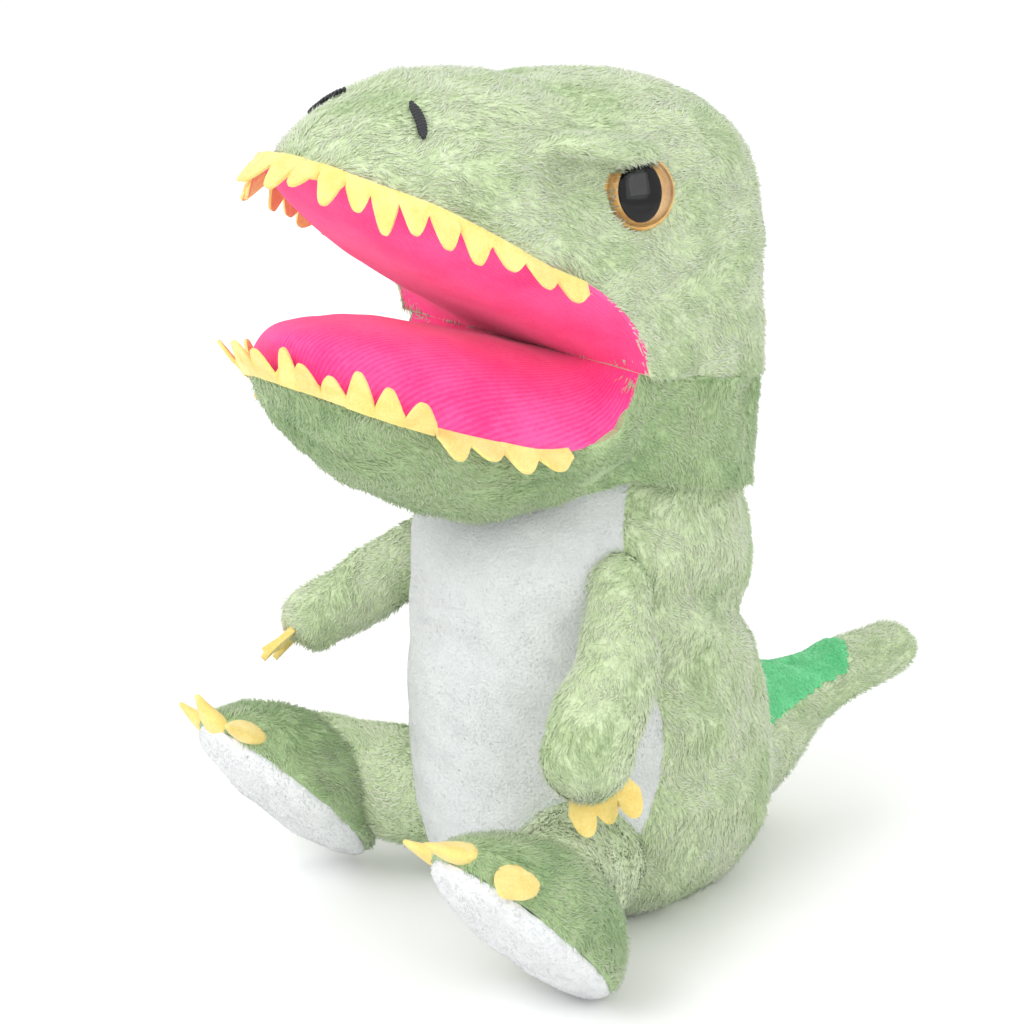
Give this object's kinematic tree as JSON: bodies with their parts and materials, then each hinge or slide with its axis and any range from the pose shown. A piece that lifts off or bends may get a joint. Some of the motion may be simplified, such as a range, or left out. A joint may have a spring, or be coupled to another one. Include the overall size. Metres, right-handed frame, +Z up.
{
  "type": "hand puppet",
  "caption": "Seated plush dinosaur hand puppet with a hinged mouth, felt teeth and claws, slit-pupil eyes, a white belly, floppy arms and legs and a tapered tail.",
  "frame": {"origin": "on the resting surface, on the axis of the body sleeve, in the middle of the opening that the hand goes into", "axes": "+Z up, -Y the way the puppet faces, +X towards its left side"},
  "size_m": [0.196, 0.307, 0.2852],
  "materials": {
    "light_plush": "short pile plush, mottled sage green",
    "dark_plush": "short pile plush, darker green",
    "white_plush": "short pile plush, white",
    "bright_plush": "smooth bright green short pile",
    "mouth_knit": "fine pink knit",
    "yellow_felt": "pale yellow felt",
    "fibre_fill": "polyester fibre fill",
    "lining_cloth": "plain woven lining",
    "mouth_board": "stiff sheet",
    "eye_amber": "amber plastic, polished",
    "eye_clear": "clear plastic dome, polished",
    "eye_black": "black plastic, polished",
    "eye_washer": "moulded lock washer",
    "black_thread": "black satin stitch"
  },
  "bodies": {
    "torso": {"back_stripe": "bright_plush", "belly_panel": "white_plush", "hem_band": "light_plush", "left_side_panel": "light_plush", "right_side_panel": "light_plush", "sleeve_lining": "lining_cloth"},
    "neck": {"neck_gusset": "dark_plush"},
    "head": {"finger_pocket": "lining_cloth", "head_cover": "light_plush", "head_stuffing": "fibre_fill", "left_eye_dome": "eye_clear", "left_eye_iris": "eye_amber", "left_eye_washer": "eye_washer", "left_nostril": "black_thread", "left_pupil": "eye_black", "nape_band": "dark_plush", "right_eye_dome": "eye_clear", "right_eye_iris": "eye_amber", "right_eye_washer": "eye_washer", "right_nostril": "black_thread", "right_pupil": "eye_black", "upper_mouth_board": "mouth_board", "upper_mouth_lining": "mouth_knit", "upper_teeth": "yellow_felt"},
    "jaw": {"chin_stuffing": "fibre_fill", "jaw_cover": "dark_plush", "lower_mouth_board": "mouth_board", "lower_mouth_lining": "mouth_knit", "lower_teeth": "yellow_felt", "thumb_pocket": "lining_cloth"},
    "left_arm": {"left_arm": "light_plush", "left_arm_stuffing": "fibre_fill", "left_hand_claws": "yellow_felt"},
    "right_arm": {"right_arm": "light_plush", "right_arm_stuffing": "fibre_fill", "right_hand_claws": "yellow_felt"},
    "left_leg": {"left_foot": "dark_plush", "left_foot_stuffing": "fibre_fill", "left_leg": "light_plush", "left_leg_stuffing": "fibre_fill", "left_sole": "white_plush", "left_toe_claws": "yellow_felt"},
    "right_leg": {"right_foot": "dark_plush", "right_foot_stuffing": "fibre_fill", "right_leg": "light_plush", "right_leg_stuffing": "fibre_fill", "right_sole": "white_plush", "right_toe_claws": "yellow_felt"},
    "tail": {"tail_cover": "light_plush", "tail_stripe": "bright_plush", "tail_stuffing": "fibre_fill"}
  },
  "joints": [
    {"name": "head_turn", "type": "hinge", "parent": "torso", "child": "neck", "pos_m": [0, 0.003, 0.173], "axis": [0, 0, 1], "range_deg": [-20, 20]},
    {"name": "head_nod", "type": "hinge", "parent": "neck", "child": "head", "pos_m": [0, 0.003, 0.173], "axis": [1, 0, 0], "range_deg": [-15, 10]},
    {"name": "jaw_open", "type": "hinge", "parent": "head", "child": "jaw", "pos_m": [0, -0.031, 0.193], "axis": [1, 0, 0], "range_deg": [-22, 10]},
    {"name": "left_arm_swing", "type": "hinge", "parent": "torso", "child": "left_arm", "pos_m": [0.06019, -0.0385, 0.122], "axis": [-0.8958, 0.4445, 0], "range_deg": [-20, 50]},
    {"name": "right_arm_swing", "type": "hinge", "parent": "torso", "child": "right_arm", "pos_m": [-0.06019, -0.0385, 0.122], "axis": [-0.8958, -0.4445, 0], "range_deg": [-45, 35]},
    {"name": "left_leg_swing", "type": "hinge", "parent": "torso", "child": "left_leg", "pos_m": [0.04172, -0.04246, 0.03], "axis": [0, 0, 1], "range_deg": [-12, 0]},
    {"name": "right_leg_swing", "type": "hinge", "parent": "torso", "child": "right_leg", "pos_m": [-0.04172, -0.04246, 0.03], "axis": [0, 0, -1], "range_deg": [-12, 25]},
    {"name": "tail_wag", "type": "hinge", "parent": "torso", "child": "tail", "pos_m": [0, 0.058, 0.034], "axis": [0, 0, 1], "range_deg": [-25, 25]}
  ]
}
